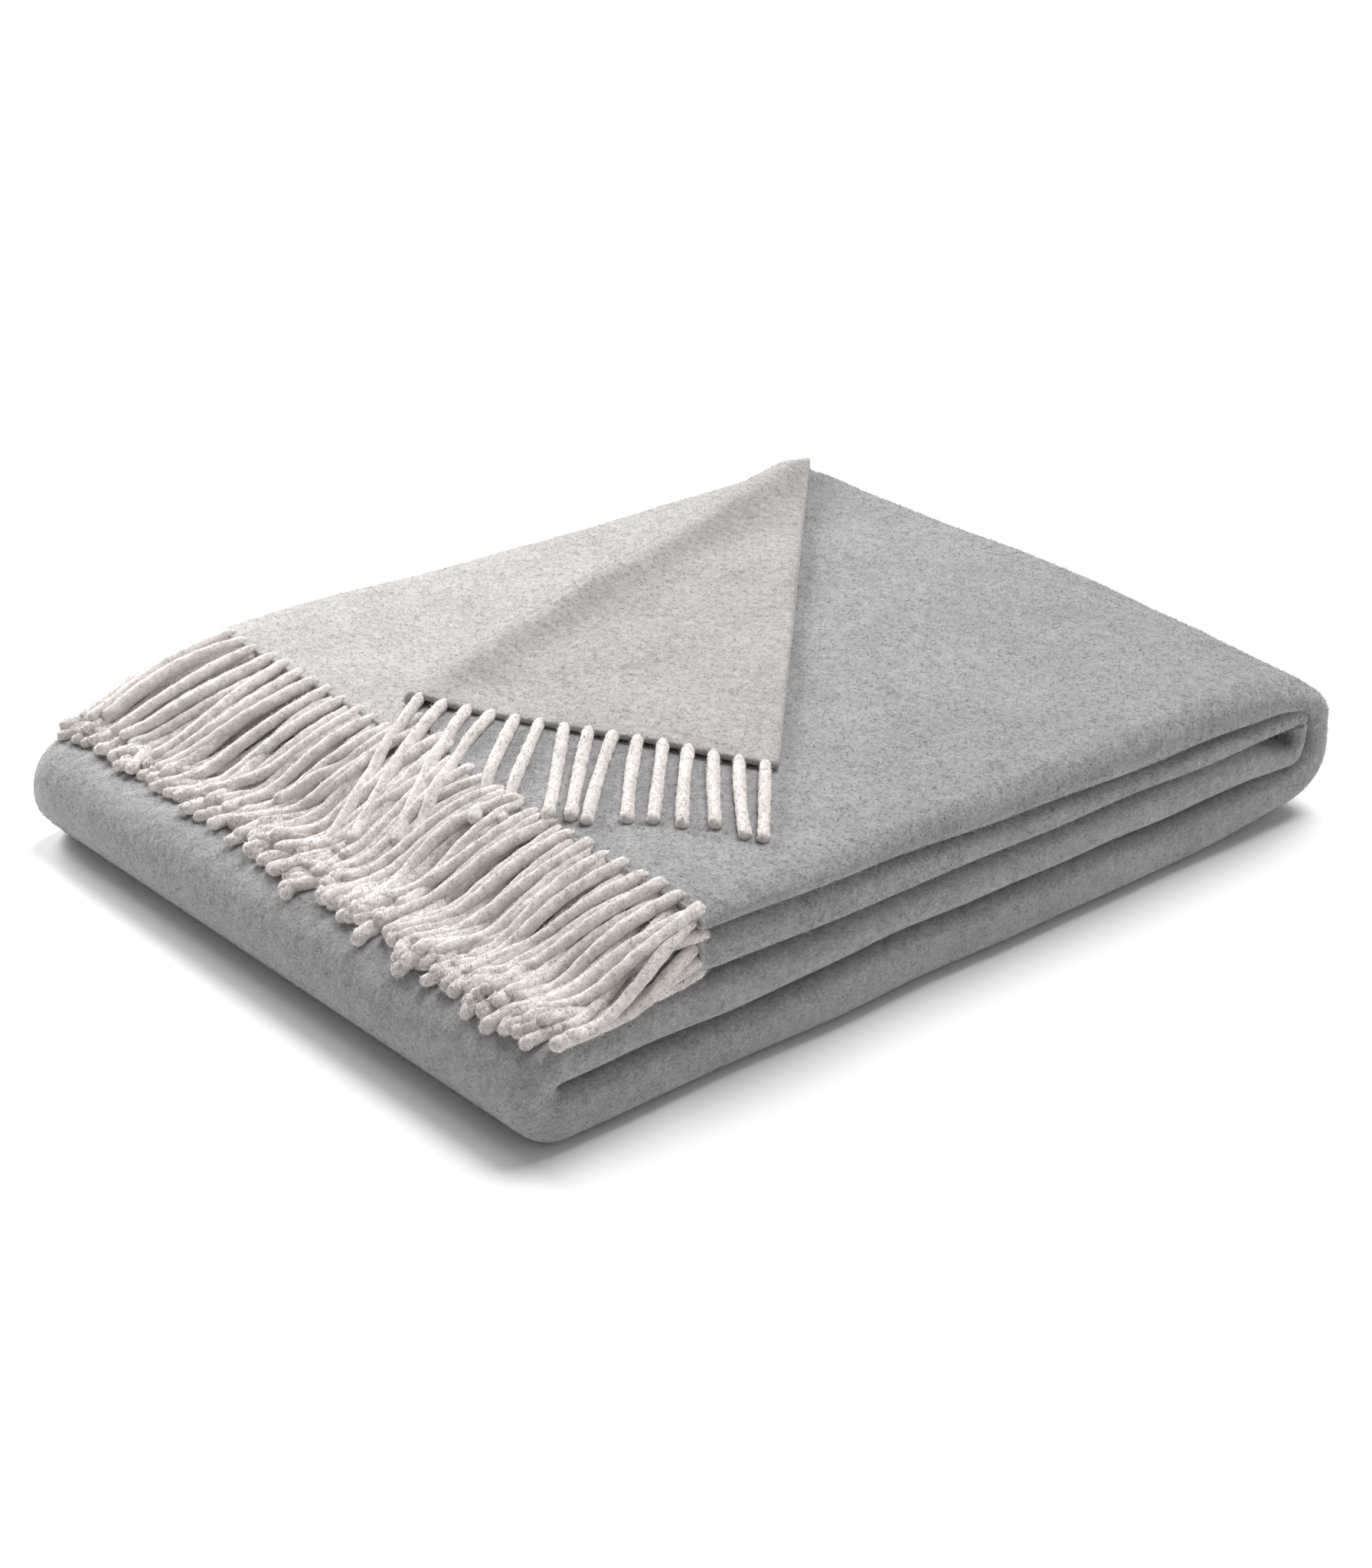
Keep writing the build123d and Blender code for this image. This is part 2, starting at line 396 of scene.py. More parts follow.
def vertex_normals(points, faces):
    """Unit normals at the points of a surface whose faces are all triangles or all quads."""
    corners = [points[faces[:, k]] for k in range(faces.shape[1])]
    if len(corners) == 3:
        across = np.cross(corners[1] - corners[0], corners[2] - corners[0])
    else:
        across = np.cross(corners[2] - corners[0], corners[3] - corners[1])
    normals = np.zeros_like(points)
    for k in range(len(corners)):
        np.add.at(normals, faces[:, k], across)
    return unit(normals)


def rim_layers(points, normals, rim, half):
    """Points of the rounded edge between a cloth's two sides: three rows along the rim."""
    along = unit(np.roll(points[rim], -1, axis=0) - np.roll(points[rim], 1, axis=0))
    outward = unit(np.cross(along, normals[rim]))
    layers = []
    for angle in np.radians([50, 0, -50]):
        turned = math.cos(angle) * outward + math.sin(angle) * normals[rim]
        layers.append(points[rim] + half[rim] * turned)
    return layers


def thick_cloth(points, faces, rim, edge_share):
    """Closed cloth about a middle surface, with a rounded edge that is a share as thick as the rest.

    rim lists the boundary points in the same turning sense as the faces. Returns points, faces and
    a slot for each face: 0 for the side where the normals point, and 1 for the other side and the edge.
    """
    normals = vertex_normals(points, faces)
    count = len(points)
    half = np.full((count, 1), CLOTH / 2)
    half[rim] *= edge_share
    edge = rim_layers(points, normals, rim, half)
    layers = [points + normals * half, points - normals * half, *edge]
    rows = [2 * count + k * len(rim) + np.arange(len(rim)) for k in range(len(edge))]
    rows = [rim, *rows, rim + count]
    all_faces = [tuple(face) for face in faces]
    first_side = len(all_faces)
    all_faces += [tuple(face[::-1] + count) for face in faces]
    for upper, lower in zip(rows[:-1], rows[1:]):
        all_faces += list(zip(upper, lower, np.roll(lower, -1), np.roll(upper, -1)))
    slots = [0] * first_side + [1] * (len(all_faces) - first_side)
    return np.vstack(layers), all_faces, slots


def grid_faces(rows, columns):
    """Faces of a grid of points and its rim, both turning the same way."""
    index = np.arange(rows * columns).reshape(rows, columns)
    faces = np.stack([index[:-1, :-1], index[1:, :-1], index[1:, 1:], index[:-1, 1:]], -1)
    faces = faces.reshape(-1, 4)
    rim = np.concatenate([index[:-1, 0], index[-1, :-1], index[:0:-1, -1], index[0, :0:-1]])
    return faces, rim


def blanket_sheet(materials):
    """The folded sheet, all but the turned corner."""
    grid = sheet_rows().transpose(1, 0, 2)
    faces, rim = grid_faces(*grid.shape[:2])
    points, faces, slots = thick_cloth(grid.reshape(-1, 3), faces, rim, 0.7)
    return new_piece("blanket", points, faces, materials, slots)


# The turned corner

FLAP_STEPS = 56           # steps along the fold, and from the fold to the corner's tip
FLAP_HEM_START = 20.0     # from where the fold line leaves the hem to where the turned hem starts
FLAP_FAR_END = 338.0      # from where the fold line leaves the hem to where it meets the back
FLAP_CORNER = np.array([170.0, 66.0])  # where the turned corner's tip lies
FLAP_TURN_STEPS = 13      # steps round the half turn at the fold
FLAP_TUCK = 2.5           # how far the cloth runs on, level, under the half turn
FLAP_REST = CLOTH / 2 + 0.3  # height of the turned corner's middle surface over the top panel
flap_waves = waves(21, 60)


def fold_bow(along):
    """How far the fold line bows towards the back, by distance along it."""
    return 3.0 * np.exp(-((along - 275) / 60) ** 2) - 1.0 * np.exp(-((along - 110) / 50) ** 2)


def roll_radius(along):
    """Radius of the cloth's middle surface as it turns over at the fold."""
    fat = 4.8 + 0.7 * np.exp(-((along - 280) / 60) ** 2) + 0.2 * np.sin(along / 17)
    hem_end = 0.5 + 0.5 * smooth(FLAP_HEM_START, 55, along)
    far_end = 1 - 0.5 * smooth(312, FLAP_FAR_END, along)
    return fat * (hem_end * far_end)


def top_ply_height(line):
    """Height of the top ply's middle at plan points."""
    return panel_height("top", ply_share(1), line[:, 0], line[:, 1])


def flap_lift(plan):
    """How far the turned corner stands off the top panel: it is wavy, and lifts at its hem."""
    hem_start = FOLD_POINT + FLAP_HEM_START * FOLD_ALONG
    hem = unit(FLAP_CORNER - hem_start)
    inward = np.array([-hem[1], hem[0]])
    off_hem = np.abs((plan - hem_start) @ inward)
    lift = 0.4 * np.exp(-off_hem / 11) + 0.6 * flap_waves(plan[:, 0], plan[:, 1])
    return lift * smooth(0, 30, np.abs((plan - FOLD_POINT) @ FOLD_AWAY))


def flap_triangle(edge, crest):
    """The turned corner's flat part: its points and their indices by place.

    edge and crest are the plan and the height of the points where the half turn at the fold ends.
    In a place (i, j), i + j counts steps from the tip to the fold, and j from the hem.
    """
    points, index = [], {}
    for i in range(FLAP_STEPS + 1):
        for j in range(FLAP_STEPS + 1 - i):
            depth = (FLAP_STEPS - i - j) / FLAP_STEPS
            at = j / max(i + j, 1) * FLAP_STEPS
            k = min(int(at), FLAP_STEPS - 1)
            fold_at = edge[k] + (at - k) * (edge[k + 1] - edge[k])
            plan = fold_at + depth * (FLAP_CORNER - fold_at)
            index[i, j] = len(points)
            points.append((plan[0], plan[1], np.interp(at, np.arange(FLAP_STEPS + 1), crest)))
    return np.array(points), index


def triangle_faces(index):
    """Faces between the points of the turned corner's flat part."""
    faces = []
    for i in range(FLAP_STEPS):
        for j in range(FLAP_STEPS - i):
            faces.append((index[i, j], index[i, j + 1], index[i + 1, j]))
            if i + j < FLAP_STEPS - 1:
                faces.append((index[i + 1, j], index[i, j + 1], index[i + 1, j + 1]))
    return faces


def lay_down(points):
    """Let the flat part down from the height of its fold on to the top panel."""
    plan = points[:, :2]
    away = np.abs((plan - FOLD_POINT) @ FOLD_AWAY)
    resting = surface(points[:, 0], points[:, 1]) + FLAP_REST
    settled = 1 - np.exp(-(np.maximum(away - 7, 0) / 13) ** 1.5)
    crown = 1.0 * np.exp(-((away - 9) / 6) ** 2) * smooth(0, 120, (plan - FOLD_POINT) @ FOLD_ALONG)
    points[:, 2] = points[:, 2] * (1 - settled) + resting * settled + crown + flap_lift(plan)


def roll_rows(edge, radius, lower):
    """Rows of points round the half turn at the fold, from its top down, and one tucked under it."""
    rows = []
    for angle in np.radians(np.linspace(90, 270, FLAP_TURN_STEPS + 1)[1:]):
        plan = edge - radius[:, None] * math.cos(angle) * FOLD_AWAY
        rows.append(np.column_stack([plan, lower + radius * (1 + math.sin(angle))]))
    tuck = rows[-1].copy()
    tuck[:, :2] -= FLAP_TUCK * FOLD_AWAY
    return rows + [tuck]


def strip_faces(rows):
    """Triangles between each row of point indices and the next."""
    faces = []
    for row, following in zip(rows[:-1], rows[1:]):
        for j in range(len(row) - 1):
            faces.append((row[j], row[j + 1], following[j]))
            faces.append((following[j], row[j + 1], following[j + 1]))
    return faces


def flap_surface():
    """The turned corner's middle surface: points, and indices of its faces, its rim and its hem.

    It is a triangle of cloth and the half turn at its fold. The rim turns against the faces.
    """
    along = np.linspace(FLAP_HEM_START, FLAP_FAR_END, FLAP_STEPS + 1)
    radius = roll_radius(along)
    line = FOLD_POINT + along[:, None] * FOLD_ALONG + fold_bow(along)[:, None] * FOLD_AWAY
    lower = top_ply_height(line)
    edge = line - radius[:, None] * FOLD_AWAY
    points, index = flap_triangle(edge, lower + 2 * radius)
    lay_down(points)
    turned = roll_rows(edge, radius, lower)
    width = len(along)
    rows = [len(points) + k * width + np.arange(width) for k in range(len(turned))]
    fold = [index[FLAP_STEPS - j, j] for j in range(width)]
    faces = triangle_faces(index) + strip_faces([fold, *rows])
    hem = [index[i, 0] for i in range(width)]
    selvedge = [index[0, j] for j in range(FLAP_STEPS, 0, -1)]
    near_end = [row[0] for row in rows]
    far_end = [row[-1] for row in rows[::-1]]
    rim = np.array([*selvedge, *hem, *near_end, *rows[-1][1:-1], *far_end])
    return np.vstack([points, *turned]), np.array(faces), rim, np.array(hem)


def corner_sheet(materials):
    """The turned corner as cloth. Returns the piece and the hem's middle line from fold to corner.

    Its faces are turned over, as the grey side lies underneath.
    """
    points, faces, rim, hem = flap_surface()
    cloth_points, cloth_faces, slots = thick_cloth(points, faces[:, ::-1], rim, 0.8)
    piece = new_piece("corner_flap_sheet", cloth_points, cloth_faces, materials, slots)
    return piece, points[hem][::-1]


# The fringes

STRAND_RADIUS = 2.5
STRAND_LENGTH = 76.0
STRAND_PITCH = 10.4       # from one tassel of a row to the next
STRAND_TWIST = 19         # length of one turn of the yarn
STRAND_SIDES = 12
STRAND_RINGS = 34
ROOT_INSET = 3.0          # how far inside the cloth's hem the main tassels start
HEM_MARGIN = 4            # from the last tassel of a hem to the end of the hem
FLAP_TASSELS = 15
ROOT_LEAD = 2.0           # how far inside the hem the turned corner's tassels start

# The pile is the height of what lies over the lower panel's top, in cells of one millimetre. It
# is laid out by y and by the distance along from PILE_X to the left, and on round the left fold.
PILE_X = 100
PILE_ORIGIN = (130, 25)   # the cell where that distance and y are 0
WRAP_HEIGHT = 4           # height over the left fold at which the distance round it is measured
pile = np.zeros((270, 390))


def pile_cells(along, y):
    """Indices of the pile's cells at distances along and y."""
    i = np.clip(np.round(along + PILE_ORIGIN[0]).astype(int), 0, pile.shape[0] - 1)
    j = np.clip(np.round(y + PILE_ORIGIN[1]).astype(int), 0, pile.shape[1] - 1)
    return i, j


def wrapped(along, y, height):
    """Points from distances along, y and heights over the lower panel's top.

    Past the start of the left fold the distance runs round the fold.
    """
    flat_run = PILE_X - LEFT_X
    angle = np.maximum(along - flat_run, 0) / (LEFT_X + WRAP_HEIGHT)
    reach = LEFT_X + height
    flat = along <= flat_run
    x = np.where(flat, PILE_X - along, LEFT_X - reach * np.sin(angle))
    z = np.where(flat, PARTING_LOW + height, PARTING_LOW - LEFT_X + reach * np.cos(angle))
    return np.column_stack([x, y, z])


def ease(values, reach, keep):
    """Smooth a row of values over reach samples, keeping the first few in place."""
    kernel = np.hanning(2 * reach + 3)[1:-1]
    padded = np.pad(values, reach, mode="edge")
    eased = np.convolve(padded, kernel / kernel.sum(), mode="valid")
    weight = smooth(0, keep, np.arange(len(values)))
    return values * (1 - weight) + eased * weight


def settle(along, y, root, radius, nest):
    """Heights of a strand's middle as it falls from its root on to what lies below, then adds to it.

    nest holds the shares of its radius that it stands off what lies below: at its root and further on.
    """
    run = np.concatenate([[0], np.cumsum(np.hypot(np.diff(along), np.diff(y)))])
    below = np.max([pile[pile_cells(along, y + side)] for side in (-1.6, 0, 1.6)], axis=0)
    stiffness = 105 + 150 * smooth(200, 310, y[0])
    fall = root - run ** 2 / stiffness
    squeeze = nest[0] + (nest[1] - nest[0]) * smooth(0, 45, run)
    height = np.maximum(below + radius * squeeze, fall)
    height[0] = root
    height = ease(height, 5, 4)
    height = np.maximum(height, below + 0.25 * radius)
    height = ease(height, 3, 4)
    for side in np.arange(-2.5, 2.6, 0.5):
        cells = pile_cells(along, y + side)
        crown = height + radius * (squeeze - 0.35) * math.sqrt(1 - (side / 2.9) ** 2)
        pile[cells] = np.maximum(pile[cells], crown)
    return height


def strand_girth(radius, rng):
    """Radius at each ring of a strand: thin at the root, slightly uneven, blunt at the tip."""
    share = np.linspace(0, 1, STRAND_RINGS)
    uneven = 1 + 0.05 * np.sin(share * 9 + rng.uniform(0, 6))
    girth = radius * (0.6 + 0.4 * smooth(-0.01, 0.05, share)) * uneven
    girth *= 1 + 0.10 * np.exp(-((share - 0.965) / 0.03) ** 2)
    girth[-3:] *= (0.99, 0.92, 0.66)
    return girth


def strand_lobes(middle, around, rng):
    """Share of its radius at each point of a strand: two twisted plies, rough, and more so at the tip."""
    twist = distances(middle)[:, None] * math.tau / STRAND_TWIST + rng.uniform(0, 6)
    lobes = 1 + 0.05 * np.cos(2 * (around[None] + twist))
    lobes = lobes + rng.normal(0, 0.015, (STRAND_RINGS, STRAND_SIDES))
    lobes[-4:] += rng.normal(0, 0.09, (4, STRAND_SIDES))
    return lobes


def strand_faces():
    """Faces of a strand, whose last two points are the middles of its root and its tip."""
    index = np.arange(STRAND_RINGS * STRAND_SIDES).reshape(STRAND_RINGS, STRAND_SIDES)
    ahead = np.roll(index, -1, axis=1)
    walls = np.stack([index[:-1], index[1:], ahead[1:], ahead[:-1]], -1).reshape(-1, 4)
    root = [(a, b, index.size) for a, b in zip(index[0], ahead[0])]
    tip = [(b, a, index.size + 1) for a, b in zip(index[-1], ahead[-1])]
    return [tuple(wall) for wall in walls] + root + tip


def strand_mesh(middle, radius, rng):
    """A soft twisted strand round a middle line: points and faces, closed at both ends."""
    middle = np.column_stack([ease(middle[:, k], 2, 2) for k in range(3)])
    tangent = unit(np.gradient(middle, axis=0))
    side = unit(np.cross(tangent, (0, 0, 1.0)))
    up = np.cross(side, tangent)
    girth = strand_girth(radius, rng)
    around = np.linspace(0, math.tau, STRAND_SIDES, endpoint=False)
    reach = girth[:, None] * strand_lobes(middle, around, rng)
    ring = np.cos(around)[:, None] * side[:, None] + np.sin(around)[:, None] * up[:, None]
    points = (middle[:, None] + reach[..., None] * ring).reshape(-1, 3)
    tip = middle[-1:] + tangent[-1] * 0.3 * radius
    return np.vstack([points, middle[:1], tip]), strand_faces()


def join_strands(name, strands, material):
    """One piece from a list of strand meshes."""
    points, faces, base = [], [], 0
    for strand, walls in strands:
        points.append(strand)
        faces += [tuple(base + v for v in wall) for wall in walls]
        base += len(strand)
    return new_piece(name, np.vstack(points), faces, [material])


def hem_x(y, turned=False):
    """Where the hems lie, a little askew; the top ply's draws back towards the turned corner."""
    return HEM_X - 6 + 0.045 * y + (12 * smooth(130, FOLD_POINT[1], y) if turned else 0)


def clumps(seed):
    """Tassels lean together: a function from y to how far a tip goes sideways, and the bow on the way."""
    rng = np.random.default_rng(seed)
    centres = np.cumsum(rng.uniform(20, 44, 16)) - 30
    leans = waves(seed + 100, 75)
    bows = waves(seed + 200, 55)

    def lean(y):
        nearest = np.argmin(np.abs(centres - y))
        return 0.42 * (centres[nearest] - y) + 7 + 11 * leans(y, 0), 5 * bows(y, 0)

    return lean


def tassel_sway(clump, y, t, rng):
    """How far sideways a tassel goes, by share of its length: with its clump, and a little astray."""
    lean, bow = clump(y)
    stray = 4.5 if rng.random() < 0.22 else 1.3
    sideways = (lean + rng.normal(0, 1.6) * stray) * t ** 1.7
    sideways += (bow + rng.normal(0, 1.0) * stray) * np.sin(math.pi * t)
    sideways += rng.normal(0, 0.6) * np.sin(2 * math.pi * t + rng.uniform(0, 6))
    return sideways


def tassel_length(y, order, rng):
    """Length of a tassel: shorter in the higher rows, at the front and about the middle of the hem."""
    length = STRAND_LENGTH + rng.normal(0, 4.0) + 1.7 * (3.5 - order)
    return length - (5 * math.exp(-y / 60) + 5 * math.exp(-((y - 190) / 90) ** 2))


def fringe_row(panel, ply, order, clump, rng):
    """One row of tassels, laid on the rows below it."""
    turned = panel == "top" and ply == 1
    last_y = FOLD_POINT[1] + 1 if turned else WIDTH - HEM_MARGIN
    strands = []
    y = rng.uniform(4, 8)
    while y < last_y:
        length = tassel_length(y, order, rng)
        run = np.linspace(0, length, STRAND_RINGS)
        t = run / length
        line_y = np.clip(y + tassel_sway(clump, y, t, rng), 1.5, WIDTH - 1.5)
        root_x = hem_x(y, turned) + ROOT_INSET
        along = (PILE_X - root_x) + run * 0.985
        root = panel_height(panel, ply_share(ply), root_x, y) - PARTING_LOW
        radius = STRAND_RADIUS * rng.uniform(0.9, 1.06)
        height = settle(along, line_y, root, radius, (0.75, 0.42))
        height = height + rng.uniform(-0.4, 1.6) * smooth(0.8, 1, t)
        strands.append(strand_mesh(wrapped(along, line_y, height), radius, rng))
        y += STRAND_PITCH * rng.uniform(0.86, 1.14)
    return strands


def main_fringes(material):
    """Both hems' fringes, one piece per ply, from the lowest row up."""
    rng = np.random.default_rng(7)
    rows = [("upper", ply) for ply in (1, 2, 3, 4)] + [("top", ply) for ply in (4, 3, 2, 1)]
    pieces = {}
    for order, (panel, ply) in enumerate(rows):
        strands = fringe_row(panel, ply, order, clumps(40 + order), rng)
        node = f"{panel}_fringe_ply_{ply}"
        pieces[node] = join_strands(f"{node}_yarn", strands, material)
    return pieces


def cover_pile():
    """Lay the top panel's surface over the pile, so that the turned corner's tassels rest on it."""
    along = np.arange(pile.shape[0]) - PILE_ORIGIN[0]
    y = np.arange(pile.shape[1]) - PILE_ORIGIN[1]
    along, y = np.meshgrid(along, y, indexing="ij")
    x = PILE_X - along
    past_fold = (np.stack([x, y], -1) - FOLD_POINT) @ FOLD_AWAY > 0
    top = surface(x, y) - PARTING_LOW - np.where(past_fold, CLOTH, 0)
    inside = x > hem_x(y, turned=True)
    pile[inside] = np.maximum(pile[inside], top[inside])


def bent_path(root, heading, bend, run):
    """Plan line of a tassel, x and y, that leaves its root at a heading and bends on the way."""
    start = root[:2] - ROOT_LEAD * np.array([math.cos(heading), math.sin(heading)])
    angle = heading - bend * (run / run[-1] - 0.4)
    step = np.gradient(run)
    x = start[0] + np.concatenate([[0], np.cumsum(np.cos(angle) * step)[:-1]])
    y = start[1] + np.concatenate([[0], np.cumsum(np.sin(angle) * step)[:-1]])
    return x, y


def flap_tassels(hem, material):
    """The turned corner's own tassels, falling over the top panel and the fringe below."""
    rng = np.random.default_rng(12)
    hem_run = distances(hem[:, :2])
    strands = []
    for at in np.linspace(3.5, hem_run[-1] - HEM_MARGIN, FLAP_TASSELS):
        root = np.array([np.interp(at, hem_run, hem[:, k]) for k in range(3)])
        share = at / hem_run[-1]
        length = 84 - 24 * share + rng.normal(0, 2)
        run = np.linspace(0, length, STRAND_RINGS)
        lean = 17 * min(2.4 * share, 1) + 7 * share ** 2
        heading = math.radians(205 + lean + rng.normal(0, 1.6))
        bend = math.radians(4 - 8 * share + rng.normal(0, 3.5))
        x, y = bent_path(root, heading, bend, run)
        radius = STRAND_RADIUS * rng.uniform(0.92, 1.02)
        height = settle(PILE_X - x, y, root[2] - 0.3 - PARTING_LOW, radius, (0.95, 0.85))
        strands.append(strand_mesh(wrapped(PILE_X - x, y, height), radius, rng))
    return join_strands("flap_fringe_yarn", strands, material)


# Materials

def new_material(name, roughness, specular):
    """A material, and its shader."""
    material = bpy.data.materials.new(name)
    material.use_nodes = True
    shader = material.node_tree.nodes["Principled BSDF"]
    shader.inputs["Roughness"].default_value = roughness
    shader.inputs["Specular IOR Level"].default_value = specular
    return material, shader


def noise(tree, source, scale, rough, stretch=None, turn=0.0):
    """A noise pattern over a source of coordinates, stretched and turned where that is asked for."""
    if stretch:
        mapping = tree.nodes.new("ShaderNodeMapping")
        mapping.inputs["Scale"].default_value = stretch
        mapping.inputs["Rotation"].default_value = (0.3 * turn, 0.2, turn)
        tree.links.new(source, mapping.inputs["Vector"])
        source = mapping.outputs["Vector"]
    texture = tree.nodes.new("ShaderNodeTexNoise")
    texture.inputs["Scale"].default_value = scale
    texture.inputs["Detail"].default_value = 3
    texture.inputs["Roughness"].default_value = rough
    tree.links.new(source, texture.inputs["Vector"])
    return texture.outputs["Fac"]


def math_node(tree, operation, first, second):
    """The result of an operation on two values, each a number or an output."""
    node = tree.nodes.new("ShaderNodeMath")
    node.operation = operation
    for socket, value in zip(node.inputs, (first, second)):
        if isinstance(value, (int, float)):
            socket.default_value = value
        else:
            tree.links.new(value, socket)
    return node.outputs["Value"]


def mixed_tone(tree, parts):
    """Tone about 0.5 from patterns and their weights."""
    total = None
    for pattern, weight in parts:
        part = math_node(tree, "MULTIPLY", math_node(tree, "SUBTRACT", pattern, 0.5), weight)
        total = part if total is None else math_node(tree, "ADD", total, part)
    return math_node(tree, "ADD", total, 0.5)


def bump(tree, height, strength, distance, beneath=None):
    """Normals of a bumpy surface, over another's where that is given."""
    node = tree.nodes.new("ShaderNodeBump")
    node.inputs["Strength"].default_value = strength
    node.inputs["Distance"].default_value = distance
    tree.links.new(height, node.inputs["Height"])
    if beneath is not None:
        tree.links.new(beneath, node.inputs["Normal"])
    return node.outputs["Normal"]


def cloth_material(name, base, speckle):
    """Brushed wool: a mottled nap with short fibres lying two ways, and a soft sheen."""
    material, shader = new_material(name, 0.95, 0.15)
    shader.inputs["Sheen Weight"].default_value = 0.35
    shader.inputs["Sheen Roughness"].default_value = 0.6
    tree = material.node_tree
    place_in = tree.nodes.new("ShaderNodeTexCoord").outputs["Object"]
    mottle = noise(tree, place_in, 38, 0.55)
    patches = noise(tree, place_in, 240, 0.6)
    fibres_a = noise(tree, place_in, 1300, 0.75, (1, 0.4, 1), 0.6)
    fibres_b = noise(tree, place_in, 1300, 0.75, (0.4, 1, 1), -0.5)
    fibres = math_node(tree, "MULTIPLY", math_node(tree, "ADD", fibres_a, fibres_b), 0.5)
    tone = mixed_tone(tree, [(mottle, 0.40), (patches, 0.75), (fibres, speckle)])
    ramp = tree.nodes.new("ShaderNodeValToRGB")
    for stop, shade in zip(ramp.color_ramp.elements, (0.5, 1.5)):
        stop.color = (*[channel * shade for channel in base], 1)
    tree.links.new(tone, ramp.inputs["Fac"])
    tree.links.new(ramp.outputs["Color"], shader.inputs["Base Color"])
    tufts = bump(tree, patches, 0.5, 0.0012)
    tree.links.new(bump(tree, fibres, 0.6, 0.0005, tufts), shader.inputs["Normal"])
    return material


grey_face = cloth_material("grey_face", (0.295, 0.29, 0.294), 2.4)
cream_face = cloth_material("cream_face", (0.42, 0.40, 0.388), 2.0)
# The turned corner's cream side: the same cream cloth made darker, painted shade where the turned corner
# catches less light.
cream_painted_shade = cloth_material("cream_face_painted_shade", (0.385, 0.364, 0.356), 2.0)
yarn = cloth_material("fringe_yarn", (0.75, 0.70, 0.67), 1.2)


def plain_material(name, colour, roughness=0.95, specular=0.1):
    """One plain colour."""
    material, shader = new_material(name, roughness, specular)
    shader.inputs["Base Color"].default_value = (*colour, 1)
    return material


nap_pale = plain_material("nap_pale", (0.50, 0.485, 0.48))
nap_grey = plain_material("nap_grey", (0.33, 0.32, 0.325))
nap_dark = plain_material("nap_dark", (0.22, 0.215, 0.22))
nap_cream = plain_material("nap_cream", (0.52, 0.495, 0.48))
nap_yarn = plain_material("nap_yarn", (0.76, 0.71, 0.68))
nap_warm = plain_material("nap_warm", (0.34, 0.315, 0.305))


# The nap

CLOTH_FIBRES = (1.2, 3.2)  # shortest and longest fibre of the nap, mm
YARN_FIBRES = (0.9, 2.3)
BARE_BELOW = 0.001        # height under which there is no nap, m
ROOT_DEPTH = 0.00025      # how deep in the cloth a fibre starts, m
UPPER_FIBRES = 46000      # how many fibres stand on the upper half of the blanket
LOWER_FIBRES = 30000
FLAP_FIBRES = 14000
FLAP_FRINGE_FIBRES = 7000
ROW_FIBRES = {"upper": 4500, "top": 9000}  # on each row of a panel's fringe
GREY_SHADES = [nap_pale, nap_grey, nap_dark]
CREAM_SHADES = [nap_cream, nap_cream, nap_cream, nap_pale, nap_pale, nap_warm]
CLOTH_SHADES = [GREY_SHADES, CREAM_SHADES]  # for the slots of the cloth
YARN_SHADES = [[nap_yarn, nap_yarn, nap_cream, nap_warm]]


def open_air(pieces):
    """A test of whether a point can see out: rays from it against all the pieces."""
    points, faces, base = [], [], 0
    for piece in pieces:
        points += [vertex.co.copy() for vertex in piece.data.vertices]
        faces += [[base + v for v in polygon.vertices] for polygon in piece.data.polygons]
        base = len(points)
    tree = BVHTree.FromPolygons(points, faces)
    lift, far_off = 0.0004, 0.05

    def sees_out(point, normal):
        start = point + normal * lift
        side = normal.orthogonal().normalized()
        for direction in (normal, (normal + side).normalized(), (normal - side).normalized()):
            if tree.ray_cast(start, direction, far_off)[0] is None:
                return True
        return False

    return sees_out


def open_places(piece, sees_out, count, rng, keep):
    """Random points on a piece's open faces: places and normals in metres, and the faces' slots.

    Faces near the floor are left bare, and small faces get more than their share by area.
    """
    mesh = piece.data
    chosen = []
    for polygon in mesh.polygons:
        centre = polygon.center
        if centre.z > BARE_BELOW and (keep is None or keep(centre)) and sees_out(centre, polygon.normal):
            chosen.append(polygon)
    areas = np.array([polygon.area for polygon in chosen]) ** 0.75
    picks = rng.choice(len(chosen), count, p=areas / areas.sum())
    corners = [[mesh.vertices[v].co for v in polygon.vertices] for polygon in chosen]
    corners = np.array([[list(c[k % len(c)]) for k in range(4)] for c in corners])[picks]
    normals = np.array([list(polygon.normal) for polygon in chosen])[picks]
    slots = np.array([polygon.material_index for polygon in chosen])[picks]
    u, v = rng.random((2, count, 1))
    low = corners[:, 0] * (1 - u) + corners[:, 1] * u
    high = corners[:, 3] * (1 - u) + corners[:, 2] * u
    return low * (1 - v) + high * v, normals, slots


def fibre_points(roots, normals, length, rng):
    """Four corners of each fibre, a thin spike: three about its root and its tip.

    Most fibres lie nearly flat, and every seventh stands up.
    """
    count = len(roots)
    lie = unit(np.cross(normals, unit(rng.normal(size=(count, 3)))))
    rise = rng.uniform(0.12, 0.75, (count, 1)) ** 1.3
    rise[::7] += 0.8
    reach = rng.uniform(*length, (count, 1)) / 1000
    tips = roots + unit(lie + rise * normals) * reach
    across = unit(np.cross(normals, lie))
    girth = rng.uniform(0.07, 0.13, (count, 1)) / 1000
    base = roots - normals * ROOT_DEPTH
    foot = [base + across * girth, base - across * girth, base + normals * girth * 1.6]
    return np.stack([*foot, tips], 1)


